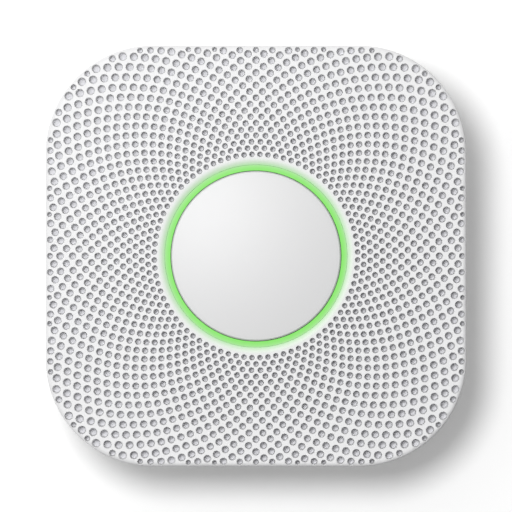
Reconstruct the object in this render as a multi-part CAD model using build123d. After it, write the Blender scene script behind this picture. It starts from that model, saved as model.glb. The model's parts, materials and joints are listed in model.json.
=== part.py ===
from build123d import *
import math
import os

os.makedirs("parts", exist_ok=True)

# Battery smoke and carbon monoxide alarm, square front with a round centre button.
# Millimetres. Z = 0 is the wall, +Z points into the room, +Y is the top of the alarm.
# The origin is the centre of the backplate's wall face.

# ---- outer form
FACE_HALF = 67.0             # half the width and height of the square front
ARC_CENTRE = 32.8            # X and Y of every corner arc's centre, on the front, sides and backplate
CROWN_Z = 38.5               # highest point, the crown of the button
FACE_Z = 37.6                # flat front face
FACE_EDGE_R = 0.8            # rounding of the front's edge
COVER_DRAFT = 6.5            # degrees, the cover's sides narrow towards the wall
SEAM_Z = 24.0                # where front cover and rear housing meet
SEAM_GAP = 0.3
HOUSING_SEAM_HALF = 65.4
HOUSING_REAR_HALF = 60.2
HOUSING_REAR_Z = 6.4
SIDE_CURVE = 1.9             # exponent of the rear housing's curved side
WALL = 2.2                   # rear housing wall
FLANGE = 1.8                 # rear housing's rear wall around the boss

# ---- front grille
PLATE = 3.4                  # thickness of the perforated front
COVER_WALL = 2.0
RING_OPENING_R = 29.1        # hole in the cover around the light ring
DISH_R = 31.2                # the face starts to dip towards the light ring here
DISH_DEPTH = 0.5
HOLES_PER_RING = 80
FIRST_RING_R = 32.4
RING_PITCH = 2.0
HOLE_R_FIRST = 0.87          # radius of the holes in the innermost ring
HOLE_R_GROWTH = 0.010        # growth of the hole radius per mm away from it
HOLE_DRAFT = 4.7             # degrees, each hole narrows towards the dust screen
EDGE_MARGIN = 0.46           # solid border between the outermost holes and the outline
EDGE_SHRINK = 0.27           # how much a hole shrinks per mm that it would reach over the border
EDGE_DROP = 0.3              # holes centred further out than this are left out

# ---- backplate and bayonet
BACKPLATE_HALF = 59.0
BACKPLATE_BASE = 2.2
BACKPLATE_HEIGHT = 6.0
BACKPLATE_RIM = 1.8
OPENING_R = 55.2
SLOT_AT = 45.0               # X and Y of the wall-screw slots
SLOT_LENGTH = 9.0
SLOT_R = 2.25
BAYONET_ANGLES = [27, 117, 207, 297]
HOOK_HALF_ANGLE = 5.5
LUG_HALF_ANGLE = 5.2
BOSS_R = 54.6
BOSS_Z = 1.2
BOSS_WALL = 1.6
BOSS_FLOOR = 2.0

# ---- battery bay: six AA cells side by side
CELL_R = 7.25
CELL_LENGTH = 50.5
CELL_PITCH = 14.9
CELL_Z = 10.9
CELL_COUNT = 6
BAY_HALF_X = 45.2
BAY_HALF_Y = 27.6
BAY_TOP = 18.6
BAY_WALL = 1.6

# ---- battery door and its hinge
DOOR_GAP = 0.3
DOOR_HALF_X = 46.6
DOOR_HALF_Y = 28.5
DOOR_CORNER_R = 6.0
DOOR_THICK = 1.5
DOOR_RECESS_Z = 2.8
DOOR_SWING = 1.0
HINGE_Y = -31.2
HINGE_Z = 3.1
KNUCKLE_R = 1.8
HINGE_PIN_R = 0.8
HINGE_PIN_HALF = 37.0
POCKET_HALF = 34.2
DOOR_KNUCKLE_INNER = 20.3
DOOR_KNUCKLE_OUTER = 33.9
HOUSING_KNUCKLE_INNER = 12.0
HOUSING_KNUCKLE_OUTER = 20.0
RUNNING_GAP = 0.05

# ---- boards and fasteners
BOARD_Z = 21.4
BOARD_THICK = 1.6
BOARD_TOP = BOARD_Z + BOARD_THICK
BOARD_HALF = 55.0
HOUSING_SCREWS = [(50.4, 0), (-50.4, 0), (0, 46.0), (0, -46.0)]
BOARD_SCREWS = [(14.0, 52.0), (-14.0, 52.0), (14.0, -52.0), (-14.0, -52.0)]
HOUSING_SCREW_R = 1.5
BOARD_SCREW_R = 1.0
SCREW_SEAT_Z = 16.0          # where the housing screws' heads sit, at the bottom of their wells
SCREEN_TOP = FACE_Z - PLATE
SCREEN_THICK = 0.3

# ---- centre button stack
BUTTON_R = 27.15
BUTTON_SKIRT = 1.85
BUTTON_FOOT_Z = 33.8
BUTTON_SAG = 1.6             # how far the crown falls away at the button's edge
BUTTON_RIM_R = 0.6           # rounding of the button's edge
BUTTON_WALL = 1.6
CARRIER_THICK = 1.2
CARRIER_Z = BUTTON_FOOT_Z - CARRIER_THICK
GUIDE_ORBIT = 19.5
GUIDE_ANGLES = [90, 210, 330]
GUIDE_R = 1.25
FRAME_FLOOR_Z = 27.2
FRAME_FLOOR = 1.4
FRAME_R = 31.2
FRAME_BORE_R = 30.0
LIGHT_RING_IN = 27.45
LIGHT_RING_OUT = 28.9
LIGHT_RING_TOP = 36.9
LED_COUNT = 12
LED_ORBIT = 28.2
SWITCH_Y = -19.5

# ---- parts in the four corners of the main board
CORNER = 37.5                # X and Y of the corner parts' axes
CORNER_R = 17.5


# ================================================================ shapes used more than once
def block(x_low, x_high, y_low, y_high, z_low, z_high):
    middle = Pos((x_low + x_high) / 2, (y_low + y_high) / 2, (z_low + z_high) / 2)
    return middle * Box(x_high - x_low, y_high - y_low, z_high - z_low)


def disc(radius, z_low, z_high, x=0.0, y=0.0):
    return Pos(x, y, (z_low + z_high) / 2) * Cylinder(radius, z_high - z_low)


def tube(outer, inner, z_low, z_high, x=0.0, y=0.0):
    return disc(outer, z_low, z_high, x, y) - disc(inner, z_low, z_high, x, y)


def bar_x(radius, x_low, x_high, y, z):
    """Round bar along X."""
    return Pos((x_low + x_high) / 2, y, z) * Rot(0, 90, 0) * Cylinder(radius, x_high - x_low)


def bar_y(radius, y_low, y_high, x, z):
    """Round bar along Y."""
    return Pos(x, (y_low + y_high) / 2, z) * Rot(90, 0, 0) * Cylinder(radius, y_high - y_low)


def square_outline(half):
    """Rounded square whose corner arcs share the alarm's arc centres."""
    return RectangleRounded(2 * half, 2 * half, half - ARC_CENTRE)


def square_block(half, z_low, z_high):
    return extrude(Pos(0, 0, z_low) * square_outline(half), z_high - z_low)


def sector(inner, outer, z_low, z_high, middle_deg, half_deg):
    """Part of a tube, seen from above as a slice of a ring."""
    reach = 2 * outer
    rays = [math.radians(middle_deg + side * half_deg) for side in (-1, 1)]
    corners = [(0, 0)] + [(reach * math.cos(ray), reach * math.sin(ray)) for ray in rays]
    wedge = extrude(Pos(0, 0, z_low) * make_face(Polyline(*corners, close=True)), z_high - z_low)
    return tube(outer, inner, z_low, z_high) & wedge


def turned(points, x=0.0, y=0.0):
    """Solid of revolution of a closed outline of (radius, height) points."""
    outline = Polyline(*[(radius, 0, height) for radius, height in points], close=True)
    return Pos(x, y, 0) * revolve(make_face(outline), Axis.Z, 360)


def around(count, orbit, first_deg=0.0):
    """Evenly spaced places on a circle, as (x, y, angle in degrees)."""
    places = []
    for index in range(count):
        angle = first_deg + 360 * index / count
        ray = math.radians(angle)
        places.append((orbit * math.cos(ray), orbit * math.sin(ray), angle))
    return places


def polar(orbit, angle_deg):
    ray = math.radians(angle_deg)
    return orbit * math.cos(ray), orbit * math.sin(ray)


def save(name, shapes):
    """Write one node, as one solid or as a group of separate solids."""
    if isinstance(shapes, list):
        solids = [solid for shape in shapes for solid in shape.solids()]
    else:
        solids = list(shapes.solids())
    node = solids[0] if len(solids) == 1 else Compound(children=solids)
    node.label = name
    export_step(node, f"parts/{name}.step")


# ================================================================ front cover
def edge_distance(x, y):
    """Distance from the front's outline, negative inside it."""
    ax, ay = abs(x), abs(y)
    if ax > ARC_CENTRE and ay > ARC_CENTRE:
        return math.hypot(ax - ARC_CENTRE, ay - ARC_CENTRE) - (FACE_HALF - ARC_CENTRE)
    return max(ax, ay) - FACE_HALF


def edge_normal(x, y):
    """Unit vector from a point straight out to the outline."""
    over_x = max(abs(x) - ARC_CENTRE, 0.0)
    over_y = max(abs(y) - ARC_CENTRE, 0.0)
    if over_x == 0 or over_y == 0:
        over_x, over_y = (1.0, 0.0) if abs(x) > abs(y) else (0.0, 1.0)
    length = math.hypot(over_x, over_y)
    return math.copysign(over_x / length, x), math.copysign(over_y / length, y)


def pulled_in(x, y, angle, radius):
    """A hole that would cross the border is made smaller and moved inside it."""
    reach = edge_distance(x, y) + radius + EDGE_MARGIN
    if reach <= 0:
        return x, y, radius
    radius -= EDGE_SHRINK * reach
    normal_x, normal_y = edge_normal(x, y)
    way_x, way_y = normal_x + math.cos(angle), normal_y + math.sin(angle)
    length = math.hypot(way_x, way_y)
    for _ in range(8):
        step = (edge_distance(x, y) + EDGE_MARGIN + radius) / length
        x -= way_x * step
        y -= way_y * step
    return x, y, radius


def grille_holes():
    """Rings of holes on a rotated lattice: every second ring is turned by half a step."""
    holes = []
    step = 2 * math.pi / HOLES_PER_RING
    rings = int((FACE_HALF * math.sqrt(2) - FIRST_RING_R) / RING_PITCH)
    for ring in range(rings):
        orbit = FIRST_RING_R + RING_PITCH * ring
        radius = HOLE_R_FIRST + HOLE_R_GROWTH * (orbit - FIRST_RING_R)
        turn = 0.5 if ring % 2 == 0 else 0.0
        for index in range(HOLES_PER_RING):
            angle = (index + turn) * step
            x, y = orbit * math.cos(angle), orbit * math.sin(angle)
            if edge_distance(x, y) < EDGE_DROP:
                holes.append(pulled_in(x, y, angle, radius))
    return holes


def tapered_drill(x, y, radius):
    """What one grille hole removes: a slim cone that has the given radius at the face."""
    over = 0.5
    slope = math.tan(math.radians(HOLE_DRAFT))
    height = PLATE + 2 * over
    cone = Cone(radius - slope * (PLATE + over), radius + slope * over, height)
    return Pos(x, y, SCREEN_TOP - over + height / 2) * cone


def screw_post(x, y):
    """Post in the cover for a housing screw, tied to the side wall by a rib."""
    post_top = SCREEN_TOP - SCREEN_THICK - 0.6
    wall_x = math.copysign(FACE_HALF - COVER_WALL, x) if x else 0.0
    wall_y = math.copysign(FACE_HALF - COVER_WALL, y) if y else 0.0
    rib = block(min(x, wall_x) - (0 if x else 0.9), max(x, wall_x) + (0 if x else 0.9),
                min(y, wall_y) - (0 if y else 0.9), max(y, wall_y) + (0 if y else 0.9),
                SEAM_Z + 3.5, post_top)
    post = disc(3.0, BOARD_Z + 0.5, post_top, x, y)
    return post + rib - disc(HOUSING_SCREW_R, BOARD_Z, post_top - 2.0, x, y)


def make_front_cover():
    """Perforated face with its side skirt, a dish around the light ring and four screw posts."""
    skirt_height = FACE_Z - SEAM_Z - SEAM_GAP
    draft = math.radians(COVER_DRAFT)
    sharp_half = FACE_HALF + FACE_EDGE_R * (math.tan(draft) + 1 / math.cos(draft) - 1)
    outer = extrude(Pos(0, 0, FACE_Z) * square_outline(sharp_half), -skirt_height, taper=COVER_DRAFT)
    outer = fillet(outer.edges().filter_by_position(Axis.Z, FACE_Z - 0.01, FACE_Z + 0.01), FACE_EDGE_R)
    inner = extrude(Pos(0, 0, SCREEN_TOP) * square_outline(FACE_HALF - COVER_WALL),
                    -skirt_height, taper=COVER_DRAFT)
    cover = outer - inner
    cover = cover - disc(RING_OPENING_R, SCREEN_TOP - 1, FACE_Z + 1)
    dish = turned([(0, FACE_Z - DISH_DEPTH), (RING_OPENING_R, FACE_Z - DISH_DEPTH),
                   (DISH_R, FACE_Z), (DISH_R, FACE_Z + 1), (0, FACE_Z + 1)])
    cover = cover - dish
    for x, y in HOUSING_SCREWS:
        cover = cover + (screw_post(x, y) & outer_envelope())
    drills = [tapered_drill(x, y, radius) for x, y, radius in grille_holes()]
    return cover.cut(*drills)


def outer_envelope():
    """Space inside the cover's side walls, which the screw ribs are trimmed to."""
    return extrude(Pos(0, 0, FACE_Z) * square_outline(FACE_HALF - COVER_WALL / 2),
                   -(FACE_Z - BOARD_Z), taper=COVER_DRAFT)


def make_dust_screen():
    """Thin woven screen bonded under the grille; it keeps dust and insects out."""
    return square_block(FACE_HALF - COVER_WALL - 0.3, SCREEN_TOP - SCREEN_THICK, SCREEN_TOP) \
        - disc(FRAME_R + 0.2, SCREEN_TOP - 1, SCREEN_TOP + 1)


# ================================================================ rear housing and backplate
def side_half(height):
    """Half width of the rear housing at a height; its side curves in towards the wall."""
    depth = (SEAM_Z - height) / (SEAM_Z - HOUSING_REAR_Z)
    return HOUSING_SEAM_HALF - (HOUSING_SEAM_HALF - HOUSING_REAR_HALF) * depth ** SIDE_CURVE


def curved_block(inset, z_low, z_high, sections=5):
    """Rounded square block that follows the housing's curved side, a given inset inside it."""
    heights = [z_low + (z_high - z_low) * index / (sections - 1) for index in range(sections)]
    return loft([Pos(0, 0, height) * square_outline(side_half(height) - inset) for height in heights])


def hinge_pocket():
    """Room in the boss for the battery door's hinge, open towards the wall."""
    deep = block(-POCKET_HALF, POCKET_HALF, -34.0, -BAY_HALF_Y - BAY_WALL, BOSS_Z - 1, 5.4)
    shallow = block(-POCKET_HALF, POCKET_HALF, -30.0, -DOOR_HALF_Y, BOSS_Z - 1, DOOR_RECESS_Z)
    swing_x = DOOR_HALF_X - 1.6
    swing_y = DOOR_HALF_Y + DOOR_SWING
    swing = block(-swing_x, swing_x, -swing_y, -DOOR_HALF_Y + DOOR_SWING, BOSS_Z - 1, DOOR_RECESS_Z)
    return deep + shallow + swing


def housing_knuckles():
    knuckles = []
    for side in (-1, 1):
        ends = sorted([side * HOUSING_KNUCKLE_INNER, side * HOUSING_KNUCKLE_OUTER])
        barrel = bar_x(KNUCKLE_R, ends[0], ends[1], HINGE_Y, HINGE_Z)
        root = block(ends[0], ends[1], HINGE_Y - KNUCKLE_R, HINGE_Y + KNUCKLE_R, HINGE_Z, 5.6)
        knuckles.append(barrel + root)
    return knuckles


def make_rear_housing():
    """Rear shell with the round boss, the battery bay, screw wells and board posts."""
    floor_top = BOSS_Z + BOSS_FLOOR
    flange_top = HOUSING_REAR_Z + FLANGE
    shell = curved_block(0, HOUSING_REAR_Z, SEAM_Z) + disc(BOSS_R, BOSS_Z, flange_top)
    shell = shell - curved_block(WALL, flange_top, SEAM_Z)
    shell = shell - disc(BOSS_R - BOSS_WALL, floor_top, flange_top + 0.01)
    lip_half = HOUSING_SEAM_HALF - COVER_WALL + 0.05
    lip = square_block(lip_half, SEAM_Z - 3, SEAM_Z + 1.6)
    shell = shell + (lip - square_block(lip_half - 1.3, SEAM_Z - 3, SEAM_Z + 1.6))
    shell = shell + block(-BAY_HALF_X - BAY_WALL, BAY_HALF_X + BAY_WALL,
                          -BAY_HALF_Y - BAY_WALL, BAY_HALF_Y + BAY_WALL, BOSS_Z, BAY_TOP + BAY_WALL)
    shell = shell + block(-HINGE_PIN_HALF - 1, HINGE_PIN_HALF + 1, -36.0, -BAY_HALF_Y, floor_top, 7.0)
    shell = shell - block(-BAY_HALF_X, BAY_HALF_X, -BAY_HALF_Y, BAY_HALF_Y, DOOR_RECESS_Z, BAY_TOP)
    recess = RectangleRounded(2 * (DOOR_HALF_X + DOOR_GAP), 2 * (DOOR_HALF_Y + DOOR_GAP),
                              DOOR_CORNER_R + DOOR_GAP)
    shell = shell - extrude(Pos(0, 0, BOSS_Z - 1) * recess, DOOR_RECESS_Z - BOSS_Z + 1)
    shell = shell - hinge_pocket()
    for knuckle in housing_knuckles():
        shell = shell + knuckle
    shell = shell - bar_x(HINGE_PIN_R, -HINGE_PIN_HALF, HINGE_PIN_HALF, HINGE_Y, HINGE_Z)
    shell = shell - block(-6.0, 6.0, 26.0, 28.9, 2.0, 6.0)
    shell = shell - disc(8.0, BOSS_Z - 1, 2.4, 0, DOOR_HALF_Y)
    for x, y in HOUSING_SCREWS:
        shell = shell + disc(4.0, floor_top, BOARD_Z + 0.3, x, y)
    for x, y in HOUSING_SCREWS:
        shell = shell - disc(3.0, BOSS_Z - 1, SCREW_SEAT_Z, x, y)
        shell = shell - disc(1.7, SCREW_SEAT_Z - 1, BOARD_TOP, x, y)
    for x, y in BOARD_SCREWS:
        shell = shell + disc(2.4, HOUSING_REAR_Z + 0.2, BOARD_Z, x, y)
        shell = shell - disc(BOARD_SCREW_R, BOARD_Z - 6, BOARD_Z + 1, x, y)
    for side in (-1, 1):
        for plate in (-1, 0, 1):
            shell = shell - contact_tail(plate, side, 0.15)
    for angle in BAYONET_ANGLES:
        shell = shell + sector(BOSS_R - 0.6, 57.3, 2.6, 4.0, angle, LUG_HALF_ANGLE)
    return shell


def make_backplate():
    """Wall plate: round opening, raised rim, four bayonet hooks, four slots for wall screws."""
    plate = square_block(BACKPLATE_HALF, 0, BACKPLATE_HEIGHT)
    plate = chamfer(plate.edges().filter_by_position(Axis.Z, -0.01, 0.01), 0.8)
    plate = plate - square_block(BACKPLATE_HALF - BACKPLATE_RIM, BACKPLATE_BASE, BACKPLATE_HEIGHT)
    plate = plate - disc(OPENING_R, -1, BACKPLATE_HEIGHT + 1)
    for angle in BAYONET_ANGLES:
        arm = sector(57.6, 59.2, 0.5, 5.8, angle, HOOK_HALF_ANGLE)
        tip = sector(55.6, 59.2, 4.4, 5.8, angle, HOOK_HALF_ANGLE)
        stop = sector(55.6, 59.2, 0.5, 4.0, angle - HOOK_HALF_ANGLE - 1.2, 0.7)
        plate = plate + arm + tip + stop
    slot = extrude(Pos(0, 0, -1) * SlotOverall(SLOT_LENGTH, 2 * SLOT_R), BACKPLATE_BASE + 2)
    pad = extrude(Pos(0, 0, 0.5) * SlotOverall(SLOT_LENGTH + 3.4, 2 * SLOT_R + 3.4), BACKPLATE_BASE)
    for side_x in (-1, 1):
        for side_y in (-1, 1):
            place = Pos(side_x * SLOT_AT, side_y * SLOT_AT, 0)
            plate = plate + place * pad - place * slot
    return plate


# ================================================================ battery compartment
def cell_x(index):
    return (index - (CELL_COUNT - 1) / 2) * CELL_PITCH


def make_cell(index):
    """AA cell along Y with its nipple up or down by turns."""
    end = CELL_LENGTH / 2
    way = 1 if index % 2 == 0 else -1
    can_ends = sorted([-way * end, way * (end - 1.3)])
    nipple_ends = sorted([way * (end - 1.3), way * end])
    can = bar_y(CELL_R, can_ends[0], can_ends[1], cell_x(index), CELL_Z)
    can = chamfer(can.edges(), 0.5)
    return can + bar_y(2.75, nipple_ends[0], nipple_ends[1], cell_x(index), CELL_Z)


def contact_tail(plate, side, gap=0.0):
    """Solder tail of a contact plate, up through the bay's ceiling to the main board."""
    x = plate * 2 * CELL_PITCH
    ends = sorted([side * (BAY_HALF_Y - 0.5), side * (BAY_HALF_Y - 0.1)])
    return block(x - 1.5 - gap, x + 1.5 + gap, ends[0] - gap, ends[1] + gap, CELL_Z, BOARD_Z)


def make_contacts(side):
    """Three sheet-metal contact plates, each with two bowed leaves and a solder tail."""
    leaf_r, leaf_bow, sheet = 3.2, 1.75, 0.3
    plates = []
    ends = sorted([side * (BAY_HALF_Y - 0.5), side * (BAY_HALF_Y - 0.1)])
    front = BAY_HALF_Y - 0.5
    for plate in (-1, 0, 1):
        x = plate * 2 * CELL_PITCH
        sheet_metal = block(x - 12.5, x + 12.5, ends[0], ends[1], CELL_Z - 4.5, CELL_Z + 4.5)
        sheet_metal = sheet_metal + contact_tail(plate, side)
        for half in (-1, 1):
            leaf_x = x + half * CELL_PITCH / 2
            centre_y = side * (front + leaf_r - leaf_bow)
            bow = bar_x(leaf_r, leaf_x - 3, leaf_x + 3, centre_y, CELL_Z)
            bow = bow - bar_x(leaf_r - sheet, leaf_x - 4, leaf_x + 4, centre_y, CELL_Z)
            room = sorted([side * (front - 3), side * (front + 0.2)])
            bow = bow & block(leaf_x - 4, leaf_x + 4, room[0], room[1], CELL_Z - 4, CELL_Z + 4)
            sheet_metal = sheet_metal + bow
        plates.append(sheet_metal)
    return plates


def make_battery_door():
    """Door over the cells, with hinge knuckles, ribs between the cells and a latch tongue."""
    door_top = BOSS_Z + DOOR_THICK
    leaf = RectangleRounded(2 * DOOR_HALF_X, 2 * DOOR_HALF_Y, DOOR_CORNER_R)
    door = extrude(Pos(0, 0, BOSS_Z) * leaf, DOOR_THICK)
    for side in (-1, 1):
        ends = sorted([side * DOOR_KNUCKLE_INNER, side * DOOR_KNUCKLE_OUTER])
        door = door + block(ends[0], ends[1], HINGE_Y, -DOOR_HALF_Y + 1, BOSS_Z + 0.1, door_top)
        door = door + bar_x(KNUCKLE_R, ends[0], ends[1], HINGE_Y, HINGE_Z)
    door = door - bar_x(HINGE_PIN_R + RUNNING_GAP, -POCKET_HALF, POCKET_HALF, HINGE_Y, HINGE_Z)
    for index in range(CELL_COUNT - 1):
        x = (cell_x(index) + cell_x(index + 1)) / 2
        door = door + block(x - 0.5, x + 0.5, -22.0, 22.0, door_top - 0.5, 5.6)
    tongue = block(-5.0, 5.0, 26.4, 27.9, door_top - 0.5, 5.2)
    nose = block(-5.0, 5.0, 27.9, 28.45, 4.0, 5.2)
    finger_rib = block(-9.0, 9.0, DOOR_HALF_Y - 4.5, DOOR_HALF_Y - 3.5, BOSS_Z, BOSS_Z + 0.5)
    return door + tongue + nose - finger_rib


def make_hinge_pin():
    return bar_x(HINGE_PIN_R, -HINGE_PIN_HALF, HINGE_PIN_HALF, HINGE_Y, HINGE_Z)


# ================================================================ centre button stack
def make_center_button():
    """Domed disc with a skirt that stands on the carrier."""
    rim_z = CROWN_Z - BUTTON_SAG
    sphere_r = (BUTTON_R ** 2 + BUTTON_SAG ** 2) / (2 * BUTTON_SAG)
    dome = Pos(0, 0, CROWN_Z - sphere_r) * Sphere(sphere_r)
    button = disc(BUTTON_R, BUTTON_FOOT_Z, CROWN_Z) & dome
    rim = button.edges().filter_by(GeomType.CIRCLE).filter_by_position(Axis.Z, rim_z - 0.2, rim_z + 0.2)
    button = fillet(rim, BUTTON_RIM_R)
    hollow = disc(BUTTON_R - BUTTON_SKIRT, BUTTON_FOOT_Z, CROWN_Z) & (Pos(0, 0, -BUTTON_WALL) * dome)
    return button - hollow


def make_motion_lens():
    """Fresnel lens sheet for the motion sensor, with concentric facets on its rear."""
    low = BUTTON_FOOT_Z
    lens = disc(25.1, low, low + 0.9)
    for ring in range(7):
        facet = 4.0 + 3.0 * ring
        lens = lens - turned([(facet, low - 0.1), (facet + 1.6, low - 0.1), (facet, low + 0.35)])
    return lens


def make_button_carrier():
    """Sliding carrier: a ring under the button, three guide posts and the switch finger."""
    ring = tube(27.0, 15.5, CARRIER_Z, BUTTON_FOOT_Z)
    for angle in GUIDE_ANGLES:
        x, y = polar(GUIDE_ORBIT, angle)
        ring = ring + disc(GUIDE_R, 24.6, CARRIER_Z, x, y) + disc(1.75, 24.0, 24.8, x, y)
    return ring + disc(1.5, 29.5, CARRIER_Z, 0, SWITCH_Y)


def make_center_frame():
    """Fixed frame on the main board: floor, outer wall, legs and the carrier's guide sleeves."""
    floor_top = FRAME_FLOOR_Z + FRAME_FLOOR
    frame = tube(FRAME_R, 12.0, FRAME_FLOOR_Z, floor_top)
    frame = frame + tube(FRAME_R, FRAME_BORE_R, floor_top, SCREEN_TOP - 0.1)
    for x, y, _ in around(4, 27.0, 45.0):
        frame = frame + disc(2.2, BOARD_TOP, FRAME_FLOOR_Z, x, y)
    for angle in GUIDE_ANGLES:
        x, y = polar(GUIDE_ORBIT, angle)
        frame = frame + disc(2.7, 25.0, FRAME_FLOOR_Z, x, y)
    for angle in GUIDE_ANGLES:
        x, y = polar(GUIDE_ORBIT, angle)
        frame = frame - disc(GUIDE_R + RUNNING_GAP, 24.0, floor_top + 1, x, y)
    frame = frame - disc(2.6, FRAME_FLOOR_Z - 1, floor_top + 1, 0, SWITCH_Y)
    return frame - block(-5.3, 5.3, 24.4, 27.7, FRAME_FLOOR_Z - 1, floor_top + 1)


def make_button_springs():
    """Three return springs around the carrier's posts."""
    low = FRAME_FLOOR_Z + FRAME_FLOOR
    wire_r, coil_r, turns = 0.2, 2.15, 4
    height = CARRIER_Z - low - 2 * wire_r
    springs = []
    for angle in GUIDE_ANGLES:
        x, y = polar(GUIDE_ORBIT, angle)
        path = Helix(pitch=height / turns, height=height, radius=coil_r)
        section = Plane(origin=path @ 0, z_dir=path % 0) * Circle(wire_r)
        coil = sweep(section, path=path, is_frenet=True)
        springs.append(Pos(x, y, low + wire_r) * coil)
    return springs


def make_light_ring():
    """Clear light guide: a tube up to the gap around the button, on four feet."""
    guide = tube(LIGHT_RING_OUT, LIGHT_RING_IN, 32.6, LIGHT_RING_TOP)
    guide = guide + tube(29.8, LIGHT_RING_IN, 31.2, 32.6)
    for x, y, _ in around(4, 28.4, 45.0):
        guide = guide + disc(0.7, 29.8, 31.3, x, y)
    return guide


def make_led_board():
    floor_top = FRAME_FLOOR_Z + FRAME_FLOOR
    return tube(29.8, 23.0, floor_top, floor_top + 1.2)


def make_ring_leds():
    top = FRAME_FLOOR_Z + FRAME_FLOOR + 1.2
    leds = []
    for x, y, angle in around(LED_COUNT, LED_ORBIT, 15.0 + 180 / LED_COUNT):
        leds.append(Pos(x, y, top + 0.4) * Rot(0, 0, angle) * Box(1.6, 2.8, 0.8))
    return leds


def make_led_board_header():
    """Board-to-board connector between the main board and the light ring's board."""
    return block(-5.0, 5.0, 24.7, 27.4, BOARD_TOP, FRAME_FLOOR_Z + FRAME_FLOOR)


def make_motion_sensor():
    can = disc(4.1, 25.5, 29.2) + disc(4.6, 25.0, 25.6)
    return can - block(-1.5, 1.5, -2.0, 2.0, 28.9, 29.3)


def make_motion_sensor_window():
    return block(-1.5, 1.5, -2.0, 2.0, 28.9, 29.2)


def make_motion_sensor_holder():
    return tube(5.6, 2.0, BOARD_TOP, 25.0) + tube(5.6, 4.7, 25.0, 26.0)


def make_tactile_switch():
    body = block(-3.1, 3.1, SWITCH_Y - 3.1, SWITCH_Y + 3.1, BOARD_TOP, 26.6)
    return body - disc(1.8, 23.8, 27, 0, SWITCH_Y)


def make_switch_plunger():
    return disc(1.7, 24.8, 29.48, 0, SWITCH_Y)


# ================================================================ main board
def make_main_board():
    board = square_block(BOARD_HALF, BOARD_Z, BOARD_TOP)
    for x, y in HOUSING_SCREWS:
        board = board - disc(4.4, BOARD_Z - 1, BOARD_TOP + 1, x, y)
    for x, y in BOARD_SCREWS:
        board = board - disc(BOARD_SCREW_R + 0.15, BOARD_Z - 1, BOARD_TOP + 1, x, y)
    return board


def make_shield(x_side):
    """Pressed metal can over a group of chips."""
    ends = sorted([x_side * 33.2, x_side * 45.2])
    can = block(ends[0], ends[1], -8.0, 8.0, BOARD_TOP, BOARD_TOP + 2.4)
    return can - block(ends[0] + 0.3, ends[1] - 0.3, -7.7, 7.7, BOARD_TOP, BOARD_TOP + 2.1)


def make_board_chips():
    chips = [block(36.0, 42.0, -3.0, 3.0, BOARD_TOP, BOARD_TOP + 0.9),
             block(-41.5, -37.0, -2.5, 2.5, BOARD_TOP, BOARD_TOP + 0.9)]
    for index in range(3):
        x = -9.0 + 8.5 * index
        chips.append(block(x - 2.5, x + 2.5, 34.6, 39.0, BOARD_TOP, BOARD_TOP + 1.0))
    return chips


def make_humidity_sensor():
    body = block(-11.0, -8.0, -38.5, -35.5, BOARD_TOP, BOARD_TOP + 1.2)
    return body - disc(0.8, BOARD_TOP + 0.5, BOARD_TOP + 2, -9.5, -37.0)


def make_microphone():
    body = block(7.0, 11.0, -38.5, -35.5, BOARD_TOP, BOARD_TOP + 1.1)
    return body - disc(0.4, BOARD_TOP + 0.5, BOARD_TOP + 2, 9.0, -37.0)


def make_horn_coil():
    """Step-up coil that drives the horn."""
    core = disc(3.6, BOARD_TOP, BOARD_TOP + 7.0, 0, -39.0)
    return core - tube(4.0, 2.2, BOARD_TOP + 1.0, BOARD_TOP + 6.0, 0, -39.0)


def make_horn_coil_winding():
    return tube(3.3, 2.2, BOARD_TOP + 1.0, BOARD_TOP + 6.0, 0, -39.0)


# ================================================================ smoke chamber, corner +X +Y
def make_smoke_chamber_base():
    """Black floor of the sensing chamber with sockets for the emitter and the receiver."""
    base = disc(CORNER_R, BOARD_TOP, 25.2, CORNER, CORNER)
    for angle in (200, 320):
        x, y = polar(8.0, angle)
        base = base + Pos(CORNER + x, CORNER + y, 27.1) * Rot(0, 0, angle) * Box(5.0, 5.0, 4.2)
    for angle in (200, 320):
        base = base - optic(angle, 1.5, 9.0)
    return base


def optic(angle, radius, length):
    """Round bar at the sensing height, pointing at the chamber's middle."""
    x, y = polar(8.0, angle)
    place = Pos(CORNER + x, CORNER + y, 27.4) * Rot(0, 0, angle) * Rot(0, 90, 0)
    return place * Cylinder(radius, length)


def make_smoke_optic(angle):
    """Lensed infrared part, held in its socket."""
    x, y = polar(5.5, angle)
    return optic(angle, 1.5, 5.0) + Pos(CORNER + x, CORNER + y, 27.4) * Sphere(1.5)


def make_smoke_chamber_cap():
    """Roof with slanted blades that let air in and keep light out."""
    cap = disc(17.2, 32.5, 33.6, CORNER, CORNER)
    for x, y, angle in around(22, 14.8):
        blade = Box(4.2, 0.8, 7.3, align=(Align.CENTER, Align.CENTER, Align.MIN))
        cap = cap + Pos(CORNER + x, CORNER + y, 25.3) * Rot(0, 0, angle + 38) * blade
    return cap


def make_smoke_insect_screen():
    """Etched band around the blades."""
    band = tube(17.2, 16.95, 25.2, 32.5, CORNER, CORNER)
    for x, y, angle in around(36, 17.0):
        slot = Box(2.0, 1.9, 5.4)
        band = band - Pos(CORNER + x, CORNER + y, 28.9) * Rot(0, 0, angle) * slot
    return band


# ================================================================ CO sensor, corner +X -Y
def make_co_sensor_body():
    body = disc(10.0, BOARD_TOP + 1.0, 32.2, CORNER, -CORNER)
    return body + tube(9.0, 7.0, BOARD_TOP, BOARD_TOP + 1.0, CORNER, -CORNER)


def make_co_sensor_cap():
    cap = disc(8.6, 32.2, 33.5, CORNER, -CORNER)
    return cap - disc(1.3, 32.2, 34.0, CORNER, -CORNER)


# ================================================================ horn, corner -X +Y
def make_horn_base():
    ring = tube(CORNER_R, 14.5, BOARD_TOP, 28.0, -CORNER, CORNER)
    return ring + tube(CORNER_R, 15.7, 28.0, 28.4, -CORNER, CORNER)


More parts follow.
